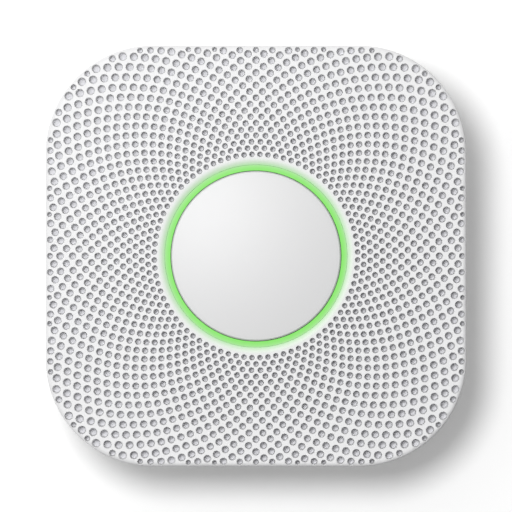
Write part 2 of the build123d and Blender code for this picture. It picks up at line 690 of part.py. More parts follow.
def make_horn_chamber():
    """Resonating chamber over the disc, with the sound port in its roof."""
    chamber = disc(CORNER_R, 28.4, 33.7, -CORNER, CORNER) - disc(14.5, 28.4, 32.6, -CORNER, CORNER)
    return chamber - disc(3.5, 32.0, 34.0, -CORNER, CORNER)


def make_piezo_disc():
    return disc(15.5, 28.0, 28.4, -CORNER, CORNER)


def make_piezo_ceramic():
    return disc(10.0, 27.7, 28.0, -CORNER, CORNER)


# ================================================================ speaker, corner -X -Y
def make_speaker_magnet():
    """Magnet with the ring gap that the voice coil moves in."""
    pot = disc(9.0, BOARD_TOP, 26.6, -CORNER, -CORNER)
    return pot - tube(5.8, 4.4, 24.0, 27.0, -CORNER, -CORNER)


def make_speaker_basket():
    outline = [(6.2, 26.6), (12.0, 26.6), (16.0, 31.6), (CORNER_R, 31.6), (CORNER_R, 32.6),
               (15.5, 32.6), (11.5, 27.5), (6.2, 27.5)]
    return turned(outline, -CORNER, -CORNER)


def make_voice_coil():
    return tube(5.4, 4.8, 24.8, 28.6, -CORNER, -CORNER)


def make_speaker_cone():
    """Cone with its dust cap and the flat rim that the surround is glued to."""
    outline = [(0, 28.6), (5.4, 28.6), (12.4, 31.2), (13.3, 31.2), (13.3, 31.5), (12.2, 31.5),
               (5.4, 29.0), (3.6, 29.9), (1.8, 30.3), (0, 30.4)]
    return turned(outline, -CORNER, -CORNER)


def make_speaker_surround():
    """Rubber roll between cone and basket."""
    outline = [(12.4, 31.5), (13.6, 31.5), (14.0, 32.6), (14.6, 32.9), (15.2, 32.6), (17.4, 32.6),
               (17.4, 32.9), (15.4, 32.9), (14.6, 33.2), (13.8, 32.9), (13.3, 31.8), (12.4, 31.8)]
    return turned(outline, -CORNER, -CORNER)


def make_speaker_gasket():
    return tube(17.4, 16.0, 32.9, 33.7, -CORNER, -CORNER)


# ================================================================ fasteners
def make_housing_screws():
    """Four screws up through the rear housing's wells into the cover's posts."""
    screws = []
    for x, y in HOUSING_SCREWS:
        head = disc(2.75, SCREW_SEAT_Z - 2.2, SCREW_SEAT_Z, x, y)
        drive = Pos(x, y, SCREW_SEAT_Z - 1.8) * (Box(3.2, 0.8, 1.2) + Box(0.8, 3.2, 1.2))
        screws.append(head + disc(HOUSING_SCREW_R, SCREW_SEAT_Z, 30.0, x, y) - drive)
    return screws


def make_board_screws():
    screws = []
    for x, y in BOARD_SCREWS:
        head = disc(1.9, BOARD_TOP, BOARD_TOP + 1.3, x, y)
        drive = Pos(x, y, BOARD_TOP + 1.2) * (Box(2.2, 0.6, 1.0) + Box(0.6, 2.2, 1.0))
        screws.append(head + disc(BOARD_SCREW_R, BOARD_Z - 5.0, BOARD_TOP, x, y) - drive)
    return screws


# ================================================================ all nodes
save("backplate", make_backplate())
save("rear_housing", make_rear_housing())
save("front_cover", make_front_cover())
save("dust_screen", make_dust_screen())
save("center_button", make_center_button())
save("motion_lens", make_motion_lens())
save("button_carrier", make_button_carrier())
save("button_springs", make_button_springs())
save("center_frame", make_center_frame())
save("light_ring", make_light_ring())
save("led_board", make_led_board())
save("ring_leds", make_ring_leds())
save("led_board_header", make_led_board_header())
save("motion_sensor", make_motion_sensor())
save("motion_sensor_window", make_motion_sensor_window())
save("motion_sensor_holder", make_motion_sensor_holder())
save("tactile_switch", make_tactile_switch())
save("switch_plunger", make_switch_plunger())
save("main_board", make_main_board())
save("processor_shield", make_shield(1))
save("radio_shield", make_shield(-1))
save("board_chips", make_board_chips())
save("humidity_sensor", make_humidity_sensor())
save("microphone", make_microphone())
save("horn_coil", make_horn_coil())
save("horn_coil_winding", make_horn_coil_winding())
save("smoke_chamber_base", make_smoke_chamber_base())
save("smoke_chamber_cap", make_smoke_chamber_cap())
save("smoke_insect_screen", make_smoke_insect_screen())
save("smoke_emitter", make_smoke_optic(200))
save("smoke_receiver", make_smoke_optic(320))
save("co_sensor_body", make_co_sensor_body())
save("co_sensor_cap", make_co_sensor_cap())
save("horn_base", make_horn_base())
save("horn_chamber", make_horn_chamber())
save("piezo_disc", make_piezo_disc())
save("piezo_ceramic", make_piezo_ceramic())
save("speaker_magnet", make_speaker_magnet())
save("speaker_basket", make_speaker_basket())
save("voice_coil", make_voice_coil())
save("speaker_cone", make_speaker_cone())
save("speaker_surround", make_speaker_surround())
save("speaker_gasket", make_speaker_gasket())
save("battery_contacts_upper", make_contacts(1))
save("battery_contacts_lower", make_contacts(-1))
for number in range(CELL_COUNT):
    save(f"battery_cell_{number + 1}", make_cell(number))
save("battery_door", make_battery_door())
save("battery_door_pin", make_hinge_pin())
save("housing_screws", make_housing_screws())
save("board_screws", make_board_screws())
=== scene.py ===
import json
import math

import bmesh
import bpy
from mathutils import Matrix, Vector
from mathutils.geometry import delaunay_2d_cdt

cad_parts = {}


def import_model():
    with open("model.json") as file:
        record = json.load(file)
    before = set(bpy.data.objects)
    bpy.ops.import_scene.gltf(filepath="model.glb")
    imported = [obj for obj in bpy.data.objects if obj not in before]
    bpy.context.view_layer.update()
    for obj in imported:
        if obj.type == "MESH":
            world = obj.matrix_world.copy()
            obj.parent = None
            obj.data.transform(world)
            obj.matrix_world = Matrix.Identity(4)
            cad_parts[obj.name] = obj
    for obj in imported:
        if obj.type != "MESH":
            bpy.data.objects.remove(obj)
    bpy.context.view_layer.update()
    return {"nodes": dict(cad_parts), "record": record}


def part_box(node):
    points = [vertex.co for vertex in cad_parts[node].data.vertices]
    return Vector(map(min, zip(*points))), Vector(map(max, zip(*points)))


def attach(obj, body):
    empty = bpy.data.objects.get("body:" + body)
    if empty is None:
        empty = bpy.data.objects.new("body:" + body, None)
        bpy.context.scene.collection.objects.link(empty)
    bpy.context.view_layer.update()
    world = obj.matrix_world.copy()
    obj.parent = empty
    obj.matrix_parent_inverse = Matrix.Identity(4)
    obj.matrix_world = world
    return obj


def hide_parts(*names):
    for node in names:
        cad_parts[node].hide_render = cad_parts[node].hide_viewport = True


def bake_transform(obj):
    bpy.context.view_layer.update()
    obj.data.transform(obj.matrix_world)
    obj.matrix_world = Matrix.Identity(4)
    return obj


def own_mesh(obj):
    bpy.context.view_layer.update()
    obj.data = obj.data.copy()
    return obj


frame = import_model()
nodes = frame["nodes"]

MM = 0.001

# ---- front cover: outline and heights come from the frame
cover_low, cover_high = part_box("front_cover")
housing_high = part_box("rear_housing")[1]
screen_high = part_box("dust_screen")[1]
ring_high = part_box("light_ring")[1]
FACE_HALF = (cover_high.x - cover_low.x) / 2
FACE_Z = cover_high.z
HOUSING_LIP = 1.6 * MM       # the housing reaches this far up inside the cover
SEAM_GAP = 0.3 * MM
SEAM_Z = housing_high.z - HOUSING_LIP + SEAM_GAP
UNDERSIDE_Z = screen_high.z
ARC_CENTRE = 32.8 * MM       # X and Y of the corner arcs' centres
EDGE_ROUND = 1.1 * MM
FACE_END = math.radians(45)  # tilt on the rounded edge where the face ends and the side begins
EDGE_TILTS = (56, 67, 78, 90)  # tilts of the side's first rings, in degrees
SIDE_RINGS = 6
SKIRT_DRAFT = math.radians(6.5)
SKIRT_WALL = 1.8 * MM
SKIRT_LIP = 0.25 * MM        # rounding of the skirt's free edge
LIP_MIDDLE = 0.3             # share of the rounding where its middle point lies
THIN_WALL = 0.32 * MM        # wall left beside the outermost holes
# the skirt's inside: full wall up to BEND_DROP under the plate, thin wall from CORNER_DROP under it
BEND_DROP = 3.0 * MM
BEND_INSET = 0.6 * MM        # how far the tapered side has moved in there
CORNER_DROP = 0.7 * MM
CORNER_INSET = 0.08 * MM     # the side's taper over that drop
UNDERSIDE_INSET = math.tan(SKIRT_DRAFT) * (FACE_Z - EDGE_ROUND - UNDERSIDE_Z) + THIN_WALL

# ---- dish around the light ring
DISH_OUTER = 31.2 * MM
DISH_INNER = 29.1 * MM
DISH_DEPTH = 0.4 * MM
DISH_SIDES = 240
DISH_STEPS = 8

# ---- hole pattern, the same law as the CAD cover
HOLES_PER_RING = 80
FIRST_RING_R = 32.4 * MM
RING_PITCH = 2.0 * MM
HOLE_R_FIRST = 0.87 * MM
HOLE_R_GROWTH = 0.010
HOLE_DRAFT = math.radians(4.7)
HOLE_NARROWING = math.tan(HOLE_DRAFT) * (FACE_Z - UNDERSIDE_Z)
HOLE_SIDES = 16
EDGE_MARGIN = 0.46 * MM
EDGE_SHRINK = 0.27
EDGE_DROP = 0.3 * MM
EDGE_ZONE = 3.0 * MM         # holes nearer the outline than this shape the rounded edge's mesh
EDGE_BANDS = (0.62, 1.0)     # rows of extra points on the rounded edge, as shares of its radius
BAND_GAP = 0.35 * MM         # how near to a hole such a point may lie
SETTLE_STEPS = 8             # steps that a hole takes to move inside the border
RIM_BEVEL = 0.10 * MM

# ---- dust screen
SCREEN_THICK = 0.3 * MM
SCREEN_GAP = 0.02 * MM
SCREEN_INSET = 0.06 * MM
SCREEN_HOLE_GAP = 0.2 * MM
SCREEN_HOLE_SIDES = 120

# ---- light guide
GUIDE_INNER = 27.24 * MM     # 0.09 mm clear of the button
GUIDE_OUTER = 29.04 * MM     # 0.06 mm clear of the dish's opening
GUIDE_HEIGHT = 3.9 * MM      # height of its wall above the flange

# ---- centre button
BUTTON_SAG = 1.6 * MM        # how far the dome falls towards its edge
BUTTON_WALL = 1.6 * MM
BUTTON_SKIRT = 1.85 * MM
BUTTON_ROUNDING = 0.14 * MM
BUTTON_CHAMFER = 0.36 * MM
BUTTON_FOOT = 0.15 * MM
CHAMFER_SLOPE = math.radians(50)
SIDE_SLOPE = math.radians(84)
BUTTON_SIDES = 192
DOME_RINGS = 24
HOLLOW_RINGS = 8

# ---- where glow, painted shade and painted highlight change, in millimetres as the shaders measure
DISH_GLOW = (29.0, 32.0)     # painted green glow and painted shade, from the light ring out to the plain face
DISH_GLOW_DEPTH = (1.6, 1.2)  # between these depths under the face the glow ends, on the opening's wall
BUTTON_RIM = (26.3, 26.8)    # from the dome to the rim with a painted highlight
RING_GLOW = (27.2, 29.1)     # from the button's side to the dish's side
RING_GLOW_DEPTH = (0.12, 0.04)  # between these depths under the ring's top face its glow ends
RING_SIDE_GLOW = 0.06        # share of the glow left on its sides
SILVER_HALF = 14.0           # half length of a cell's silver sleeve

# ---- stage
FLOOR_HALF = 3.0
KEY_PLACE = (-0.137, 0.137, 0.84)
KEY_SIZE = 0.256
KEY_POWER = 4.45
SKY_ABOVE = 0.60
SKY_BELOW = 0.75
SKY_LEAN = 0.8
HORIZON = 0.03               # half height, as a direction's Z, of the soft step between the two
CAMERA_HEIGHT = 1.5
VIEW_WIDTH = 163 * MM


# ================================================================ meshes
def edge_distance(x, y):
    """Distance from the front's outline, negative inside it."""
    ax, ay = abs(x), abs(y)
    if ax > ARC_CENTRE and ay > ARC_CENTRE:
        return math.hypot(ax - ARC_CENTRE, ay - ARC_CENTRE) - (FACE_HALF - ARC_CENTRE)
    return max(ax, ay) - FACE_HALF


def edge_normal(x, y):
    """Outward direction of the outline nearest to a point."""
    over_x = max(abs(x) - ARC_CENTRE, 0.0)
    over_y = max(abs(y) - ARC_CENTRE, 0.0)
    if over_x == 0 or over_y == 0:
        over_x, over_y = (1.0, 0.0) if abs(x) > abs(y) else (0.0, 1.0)
    length = math.hypot(over_x, over_y)
    return math.copysign(over_x / length, x), math.copysign(over_y / length, y)


def pulled_in(x, y, angle, radius):
    """A hole that would cross the border is made smaller and moved inside it."""
    reach = edge_distance(x, y) + radius + EDGE_MARGIN
    if reach <= 0:
        return x, y, radius
    radius -= EDGE_SHRINK * reach
    normal_x, normal_y = edge_normal(x, y)
    way_x, way_y = normal_x + math.cos(angle), normal_y + math.sin(angle)
    length = math.hypot(way_x, way_y)
    for _ in range(SETTLE_STEPS):
        step = (edge_distance(x, y) + EDGE_MARGIN + radius) / length
        x -= way_x * step
        y -= way_y * step
    return x, y, radius


def grille_holes():
    """Rings of holes on a rotated lattice: every second ring is turned by half a step."""
    holes = []
    step = 2 * math.pi / HOLES_PER_RING
    for ring in range(int((FACE_HALF * math.sqrt(2) - FIRST_RING_R) / RING_PITCH)):
        orbit = FIRST_RING_R + RING_PITCH * ring
        radius = HOLE_R_FIRST + HOLE_R_GROWTH * (orbit - FIRST_RING_R)
        turn = 0.5 if ring % 2 == 0 else 0.0
        for index in range(HOLES_PER_RING):
            angle = (index + turn) * step
            x, y = orbit * math.cos(angle), orbit * math.sin(angle)
            if edge_distance(x, y) < EDGE_DROP:
                holes.append(pulled_in(x, y, angle, radius))
    return holes


def outline_points():
    """Points of the front's outline with their outward normals, about 1.5 mm apart."""
    sides, arcs = 44, 36
    radius = FACE_HALF - ARC_CENTRE
    points = []
    for quarter in range(4):
        turn = quarter * math.pi / 2
        cos_turn, sin_turn = math.cos(turn), math.sin(turn)
        local = [(FACE_HALF, -ARC_CENTRE + 2 * ARC_CENTRE * i / sides, 1.0, 0.0) for i in range(sides)]
        for i in range(arcs):
            angle = math.pi / 2 * i / arcs
            local.append((ARC_CENTRE + radius * math.cos(angle), ARC_CENTRE + radius * math.sin(angle),
                          math.cos(angle), math.sin(angle)))
        for x, y, nx, ny in local:
            points.append((x * cos_turn - y * sin_turn, x * sin_turn + y * cos_turn,
                           nx * cos_turn - ny * sin_turn, nx * sin_turn + ny * cos_turn))
    return points


def offset_loop(points, offset):
    return [(x + nx * offset, y + ny * offset) for x, y, nx, ny in points]


def circle(radius, count, x=0.0, y=0.0, turn=0.0):
    angles = [2 * math.pi / count * i + turn for i in range(count)]
    return [(x + radius * math.cos(angle), y + radius * math.sin(angle)) for angle in angles]


def triangulate(loops, extra):
    """Triangles between closed loops: the first is the outer edge, all others are holes.
    Returns the flat points, the triangles and each loop's point numbers."""
    flat, edges, owner, members = [], [], [], []
    for number, loop in enumerate(loops):
        start = len(flat)
        flat.extend(loop)
        owner.extend([number] * len(loop))
        members.append(range(start, start + len(loop)))
        edges.extend((start + i, start + (i + 1) % len(loop)) for i in range(len(loop)))
    flat.extend(extra)
    owner.extend([0] * len(extra))
    result = delaunay_2d_cdt([Vector(p) for p in flat], edges, [], 0, 1e-9)
    verts, _, faces, origins = result[:4]
    lookup = [origin[0] if origin else None for origin in origins]
    assert None not in lookup and len(verts) == len(flat)
    triangles = []
    for face in faces:
        corners = [lookup[i] for i in face]
        owners = {owner[c] for c in corners}
        if len(owners) == 1 and 0 not in owners:
            continue
        triangles.append(corners)
    return flat, triangles, members


def add_ring(bm, points, heights):
    if not hasattr(heights, "__len__"):
        heights = [heights] * len(points)
    return [bm.verts.new((x, y, z)) for (x, y), z in zip(points, heights)]


def bridge(bm, low, high):
    """Quads between two rings of the same count; the outside is on the right of low to high."""
    count = len(low)
    for i in range(count):
        bm.faces.new((low[i], low[(i + 1) % count], high[(i + 1) % count], high[i]))


def rounded_drop(distance):
    """How far the face has fallen at a distance from the outline."""
    inside = min(max(-distance, 0.0), EDGE_ROUND)
    return EDGE_ROUND - math.sqrt(EDGE_ROUND ** 2 - (EDGE_ROUND - inside) ** 2)


def band_points(outline, holes, offset):
    """Points along the rounded edge where no hole is near."""
    found = []
    for x, y in offset_loop(outline, offset):
        if all((x - hx) ** 2 + (y - hy) ** 2 > (r + BAND_GAP) ** 2 for hx, hy, r in holes):
            found.append((x, y))
    return found


def finished(bm, name, material, body, smooth_deg=30):
    """Turns a bmesh into an object on a body, with all its faces pointing outwards."""
    bmesh.ops.recalc_face_normals(bm, faces=bm.faces)
    mesh = bpy.data.meshes.new(name)
    bm.to_mesh(mesh)
    bm.free()
    piece = bpy.data.objects.new(name, mesh)
    bpy.context.scene.collection.objects.link(piece)
    mesh.materials.append(material)
    mesh.shade_smooth()
    mesh.set_sharp_from_angle(angle=math.radians(smooth_deg))
    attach(piece, body)
    return piece


def cover_face(bm, holes, outline):
    """Face with its holes. Returns the outer edge, the dish's edge and the hole rims."""
    near_edge = [h for h in holes if edge_distance(h[0], h[1]) > -EDGE_ZONE]
    face_offset = -EDGE_ROUND * (1 - math.sin(FACE_END))
    loops = [offset_loop(outline, face_offset), circle(DISH_OUTER, DISH_SIDES)]
    loops += [circle(r + RIM_BEVEL, HOLE_SIDES, x, y, math.atan2(y, x)) for x, y, r in holes]
    extra = []
    for share in EDGE_BANDS:
        extra += band_points(outline, near_edge, -share * EDGE_ROUND)
    flat, triangles, members = triangulate(loops, extra)
    top = [bm.verts.new((x, y, FACE_Z - rounded_drop(edge_distance(x, y)))) for x, y in flat]
    for a, b, c in triangles:
        bm.faces.new((top[a], top[b], top[c]))
    rings = [[top[i] for i in member] for member in members]
    return rings[0], rings[1], rings[2:]


def cover_underside(bm, holes, outline):
    """Flat rear of the perforated plate. Returns its outer edge, the ring opening and the holes' ends."""
    loops = [offset_loop(outline, -UNDERSIDE_INSET), circle(DISH_INNER, DISH_SIDES)]
    loops += [circle(r - HOLE_NARROWING, HOLE_SIDES, x, y, math.atan2(y, x)) for x, y, r in holes]
    flat, triangles, members = triangulate(loops, [])
    under = [bm.verts.new((x, y, UNDERSIDE_Z)) for x, y in flat]
    for a, b, c in triangles:
        bm.faces.new((under[c], under[b], under[a]))
    rings = [[under[i] for i in member] for member in members]
    return rings[0], rings[1], rings[2:]


def hole_walls(bm, holes, rims, floors):
    """Tapered hole walls with a small bevel at the top."""
    for (x, y, r), rim, floor in zip(holes, rims, floors):
        drop = rounded_drop(edge_distance(x, y) + r) + RIM_BEVEL
        wall = add_ring(bm, circle(r, HOLE_SIDES, x, y, math.atan2(y, x)), FACE_Z - drop)
        bridge(bm, rim, wall)
        bridge(bm, wall, floor)


def cover_dish(bm, dish_edge, opening_edge):
    """Shallow dish that falls towards the light ring, and the opening's wall."""
    last = dish_edge
    for step in range(1, DISH_STEPS + 1):
        share = step / DISH_STEPS
        radius = DISH_OUTER + (DISH_INNER - DISH_OUTER) * share
        height = FACE_Z - DISH_DEPTH * (1 - math.cos(math.pi / 2 * share ** 1.2))
        ring = add_ring(bm, circle(radius, DISH_SIDES), height)
        bridge(bm, last, ring)
        last = ring
    bridge(bm, last, opening_edge)


def cover_skirt(bm, outline, face_edge, under_edge):
    """Rounded edge, side wall, free edge and inside of the skirt."""
    last = face_edge
    for degrees in EDGE_TILTS:
        tilt = math.radians(degrees)
        ring = add_ring(bm, offset_loop(outline, -EDGE_ROUND * (1 - math.sin(tilt))),
                        FACE_Z - EDGE_ROUND * (1 - math.cos(tilt)))
        bridge(bm, ring, last)
        last = ring
    side_top = FACE_Z - EDGE_ROUND
    for i in range(1, SIDE_RINGS + 1):
        height = side_top - (side_top - SEAM_Z - SKIRT_LIP) * i / SIDE_RINGS
        ring = add_ring(bm, offset_loop(outline, -math.tan(SKIRT_DRAFT) * (side_top - height)), height)
        bridge(bm, ring, last)
        last = ring
    foot = -math.tan(SKIRT_DRAFT) * (side_top - SEAM_Z)
    profile = [(foot - LIP_MIDDLE * SKIRT_LIP, SEAM_Z + LIP_MIDDLE * SKIRT_LIP), (foot - SKIRT_LIP, SEAM_Z),
               (foot - SKIRT_WALL + SKIRT_LIP, SEAM_Z), (foot - SKIRT_WALL, SEAM_Z + SKIRT_LIP),
               (-SKIRT_WALL - BEND_INSET, UNDERSIDE_Z - BEND_DROP),
               (-UNDERSIDE_INSET - CORNER_INSET, UNDERSIDE_Z - CORNER_DROP)]
    for offset, height in profile:
        ring = add_ring(bm, offset_loop(outline, offset), height)
        bridge(bm, ring, last)
        last = ring
    bridge(bm, under_edge, last)


def grille_cover(material):
    """The perforated front with its skirt: one closed shell with bevelled hole rims."""
    bm = bmesh.new()
    holes = grille_holes()
    outline = outline_points()
    face_edge, dish_edge, rims = cover_face(bm, holes, outline)
    under_edge, opening_edge, floors = cover_underside(bm, holes, outline)
    hole_walls(bm, holes, rims, floors)
    cover_dish(bm, dish_edge, opening_edge)
    cover_skirt(bm, outline, face_edge, under_edge)
    piece = finished(bm, "perforated_front", material, "head")
    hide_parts("front_cover")


def dust_screen(material):
    """Thin screen under all holes, the outermost ones included."""
    bm = bmesh.new()
    outer = offset_loop(outline_points(), -UNDERSIDE_INSET - SCREEN_INSET)
    inner_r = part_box("center_frame")[1].x + SCREEN_HOLE_GAP
    flat, triangles, members = triangulate([outer, circle(inner_r, SCREEN_HOLE_SIDES)], [])
    rings = []
    for height in (UNDERSIDE_Z - SCREEN_GAP, UNDERSIDE_Z - SCREEN_THICK):
        verts = [bm.verts.new((x, y, height)) for x, y in flat]
        for a, b, c in triangles:
            bm.faces.new((verts[a], verts[b], verts[c]))
        rings.append([[verts[i] for i in member] for member in members])
    for upper, lower in zip(rings[0], rings[1]):
        bridge(bm, upper, lower)
    piece = finished(bm, "woven_screen", material, "head")
    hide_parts("dust_screen")


def lathe(bm, profile, sides):
    """Closed profile of (radius, height) turned about the Z axis; a radius of 0 closes the shape there."""
    last = None
    for radius, height in profile:
        if radius == 0:
            ring = [bm.verts.new((0, 0, height))]
        else:
            ring = add_ring(bm, circle(radius, sides), height)
        if last and len(last) > 1 and len(ring) > 1:
            bridge(bm, last, ring)
        elif last:
            tip, rim = (last[0], ring) if len(last) == 1 else (ring[0], last)
            for i in range(sides):
                bm.faces.new((tip, rim[i], rim[(i + 1) % sides]))
        last = ring


def button_profile():
    """Half section of the button: dome, chamfer, side, foot and the hollow inside."""
    low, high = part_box("center_button")
    outer, foot, crown = high.x, low.z, high.z
    sphere = (outer ** 2 + BUTTON_SAG ** 2) / (2 * BUTTON_SAG)

    def dome(radius):
        return crown - sphere + math.sqrt(sphere ** 2 - radius ** 2)

    bend = outer - BUTTON_CHAMFER - 2 * BUTTON_ROUNDING
    profile = [(0, crown)]
    for i in range(1, DOME_RINGS + 1):
        radius = bend * i / DOME_RINGS
        profile.append((radius, dome(radius)))
    start = math.asin(bend / sphere)
    for begin, end, run, steps in ((start, CHAMFER_SLOPE, BUTTON_ROUNDING, 5),
                                   (CHAMFER_SLOPE, CHAMFER_SLOPE, BUTTON_CHAMFER, 2),
                                   (CHAMFER_SLOPE, SIDE_SLOPE, BUTTON_ROUNDING, 5)):
        for i in range(steps):
            tilt = begin + (end - begin) * (i + 0.5) / steps
            radius, level = profile[-1]
            profile.append((radius + run / steps, level - run / steps * math.tan(tilt)))
    inner = outer - BUTTON_SKIRT
    profile += [(outer, foot + BUTTON_FOOT), (outer - BUTTON_FOOT, foot)]
    profile += [(outer - BUTTON_WALL, foot), (inner, foot)]
    for i in range(HOLLOW_RINGS, 0, -1):
        radius = inner * i / HOLLOW_RINGS
        profile.append((radius, dome(radius) - BUTTON_WALL))
    profile.append((0, crown - BUTTON_WALL))
    return profile


def domed_button(material):
    """The domed button as a thin shell; its edge is a narrow chamfer rounded into dome and side."""
    bm = bmesh.new()
    lathe(bm, button_profile(), BUTTON_SIDES)
    piece = finished(bm, "domed_button", material, "button", 40)
    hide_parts("center_button")


def flexible_copy(node, name):
    """A piece with a CAD node's shape as its own mesh copy; the CAD node is hidden."""
    mesh = nodes[node].data.copy()
    piece = bpy.data.objects.new(name, mesh)
    bpy.context.scene.collection.objects.link(piece)
    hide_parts(node)
    return piece


def light_guide(material):
    """The light ring with hardly any gap to the button and the cover's dish."""
    piece = flexible_copy("light_ring", "light_guide")
    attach(piece, "head")
    for vertex in piece.data.vertices:
        radius = math.hypot(vertex.co.x, vertex.co.y)
        if vertex.co.z < ring_high.z - GUIDE_HEIGHT:
            continue
        wanted = GUIDE_INNER if radius < (GUIDE_INNER + GUIDE_OUTER) / 2 else GUIDE_OUTER
        vertex.co.x *= wanted / radius
        vertex.co.y *= wanted / radius
    piece.data.materials.clear()
    piece.data.materials.append(material)


def return_springs():
    """The three springs under the button, as their own mesh on the head."""
    springs = flexible_copy("button_springs", "return_springs")
    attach(springs, "head")
    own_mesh(springs)


def rubber_surround():
    """The roll between the speaker's basket and its cone."""
    surround = flexible_copy("speaker_surround", "rubber_surround")
    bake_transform(surround)


# ================================================================ materials
class Shader:
    """A Principled material with object coordinates in millimetres."""

    def __init__(self, name, roughness=0.5, metallic=0.0, ior=1.5):
        self.material = bpy.data.materials.new(name)
        self.material.use_nodes = True
        self.tree = self.material.node_tree
        self.tree.nodes.clear()
        self.output = self.tree.nodes.new("ShaderNodeOutputMaterial")
        self.surface = self.tree.nodes.new("ShaderNodeBsdfPrincipled")
        self.link(self.surface.outputs[0], self.output.inputs["Surface"])
        self.surface.inputs["Roughness"].default_value = roughness
        self.surface.inputs["Metallic"].default_value = metallic
        self.surface.inputs["IOR"].default_value = ior
        coordinates = self.tree.nodes.new("ShaderNodeTexCoord")
        scale = self.tree.nodes.new("ShaderNodeVectorMath")
        scale.operation = "SCALE"
        scale.inputs["Scale"].default_value = 1000.0
        self.link(coordinates.outputs["Object"], scale.inputs[0])
        self.place = scale.outputs["Vector"]
        self.last_bump = None
        self.plain = None

    def link(self, source, target):
        self.tree.links.new(source, target)

    def node(self, kind, **settings):
        made = self.tree.nodes.new(kind)
        for key, value in settings.items():
            if key in made.inputs:
                made.inputs[key].default_value = value
            else:
                setattr(made, key, value)
        return made

    def noise(self, scale, detail=3.0, roughness=0.55, stretch=None):
        """Noise with a scale in features per millimetre."""
        texture = self.node("ShaderNodeTexNoise", Scale=scale, Detail=detail, Roughness=roughness)
        source = self.place
        if stretch:
            squeeze = self.node("ShaderNodeVectorMath", operation="MULTIPLY")
            squeeze.inputs[1].default_value = stretch
            self.link(source, squeeze.inputs[0])
            source = squeeze.outputs["Vector"]
        self.link(source, texture.inputs["Vector"])
        return texture.outputs["Fac"]

    def ramp(self, factor, stops):
        ramp = self.tree.nodes.new("ShaderNodeValToRGB")
        elements = ramp.color_ramp.elements
        while len(elements) < len(stops):
            elements.new(0.5)
        for element, (position, color) in zip(elements, stops):
            element.position = position
            element.color = (*color, 1.0)
        self.link(factor, ramp.inputs["Fac"])
        return ramp.outputs["Color"]

    def to_range(self, value, low, high, new_low, new_high):
        node = self.node("ShaderNodeMapRange")
        for key, number in (("From Min", low), ("From Max", high), ("To Min", new_low), ("To Max", new_high)):
            node.inputs[key].default_value = number
        self.link(value, node.inputs["Value"])
        return node.outputs["Result"]

    def math(self, operation, first, second=None):
        node = self.node("ShaderNodeMath", operation=operation)
        for index, value in enumerate((first, second)):
            if value is None:
                continue
            if isinstance(value, (int, float)):
                node.inputs[index].default_value = value
            else:
                self.link(value, node.inputs[index])
        return node.outputs[0]

    def multiply(self, first, second):
        """Product of two colours."""
        node = self.node("ShaderNodeVectorMath", operation="MULTIPLY")
        self.link(first, node.inputs[0])
        self.link(second, node.inputs[1])
        return node.outputs["Vector"]

    def color(self, value):
        self.plain = value
        self.link(value, self.surface.inputs["Base Color"])

    def bump(self, height, distance_mm, strength=1.0):
        bump = self.node("ShaderNodeBump", Strength=strength, Distance=distance_mm * MM)
        self.link(height, bump.inputs["Height"])
        if self.last_bump:
            self.link(self.last_bump, bump.inputs["Normal"])
        self.last_bump = bump.outputs["Normal"]
        self.link(self.last_bump, self.surface.inputs["Normal"])

    def vary_roughness(self, factor, low, high):
        self.link(self.to_range(factor, 0.3, 0.7, low, high), self.surface.inputs["Roughness"])

    def radius(self):
        """Distance from the Z axis in millimetres."""
        parts = self.tree.nodes.new("ShaderNodeSeparateXYZ")
        self.link(self.place, parts.inputs[0])
        squares = [self.math("MULTIPLY", parts.outputs[i], parts.outputs[i]) for i in (0, 1)]
        return self.math("SQRT", self.math("ADD", squares[0], squares[1]))

    def axis(self, index):
        """One coordinate in millimetres: 0, 1 or 2 for X, Y or Z."""
        parts = self.tree.nodes.new("ShaderNodeSeparateXYZ")
        self.link(self.place, parts.inputs[0])
        return parts.outputs[index]


def shade(color, factor):
    return tuple(min(1.0, c * factor) for c in color)


def moulded(name, color, roughness=0.42, grain=6.0, depth=0.004, spread=0.02, uneven=0.05):
    """Moulded plastic: faint flow shading and a fine eroded grain."""
    made = Shader(name, roughness)
    flow = made.noise(0.045, 2.0)
    made.color(made.ramp(flow, [(0.3, shade(color, 1 - spread)), (0.7, shade(color, 1 + spread))]))
    made.vary_roughness(made.noise(0.3, 2.0), roughness - uneven, roughness + uneven)
    made.bump(made.noise(grain, 4.0), depth)
    return made


def front_plastic():
    """White cover; a painted green glow and painted shade fill the thin edge around the light ring."""
    made = moulded("front_plastic", (0.66, 0.66, 0.665), 0.46, 7.0, 0.002, 0.006, 0.02)
    across = made.to_range(made.radius(), *DISH_GLOW, 0.0, 1.0)
    # painted glow: green emission on the cover plastic stands in for the light ring's light falling on the
    # dish
    glow = made.ramp(across, [(0.03, (0.09, 0.42, 0.04)), (0.3, (0.05, 0.20, 0.02)),
                              (0.5, (0.035, 0.12, 0.02)), (0.73, (0.006, 0.018, 0.004)),
                              (1.0, (0.0, 0.0, 0.0))])
    # painted shade: the cover's colour is darker towards the light ring
    ring_painted_shade = made.ramp(across, [(position, (level, level, level)) for position, level in
                               ((0.03, 0.50), (0.3, 0.73), (0.5, 0.84), (0.75, 0.95), (1.0, 1.0))])
    made.color(made.multiply(made.plain, ring_painted_shade))
    low, high = [FACE_Z / MM - depth for depth in DISH_GLOW_DEPTH]
    top_only = made.to_range(made.axis(2), low, high, 0.0, 1.0)
    made.link(glow, made.surface.inputs["Emission Color"])
    made.link(top_only, made.surface.inputs["Emission Strength"])
    return made.material


def button_plastic():
    """Satin finish, glossier than the cover, with a painted highlight: its rim is coloured lighter."""
    made = moulded("button_plastic", (0.74, 0.74, 0.745), 0.44, 9.0, 0.0002, 0.003, 0.004)
    # painted highlight: the rim's colour is lighter, standing in for light caught on its rounding
    rim_highlight = made.ramp(made.to_range(made.radius(), *BUTTON_RIM, 0.0, 1.0),
                     [(0.0, (0.77, 0.77, 0.77)), (1.0, (0.92, 0.92, 0.92))])
    made.color(made.multiply(made.plain, rim_highlight))
    made.surface.inputs["Specular IOR Level"].default_value = 0.65
    return made.material


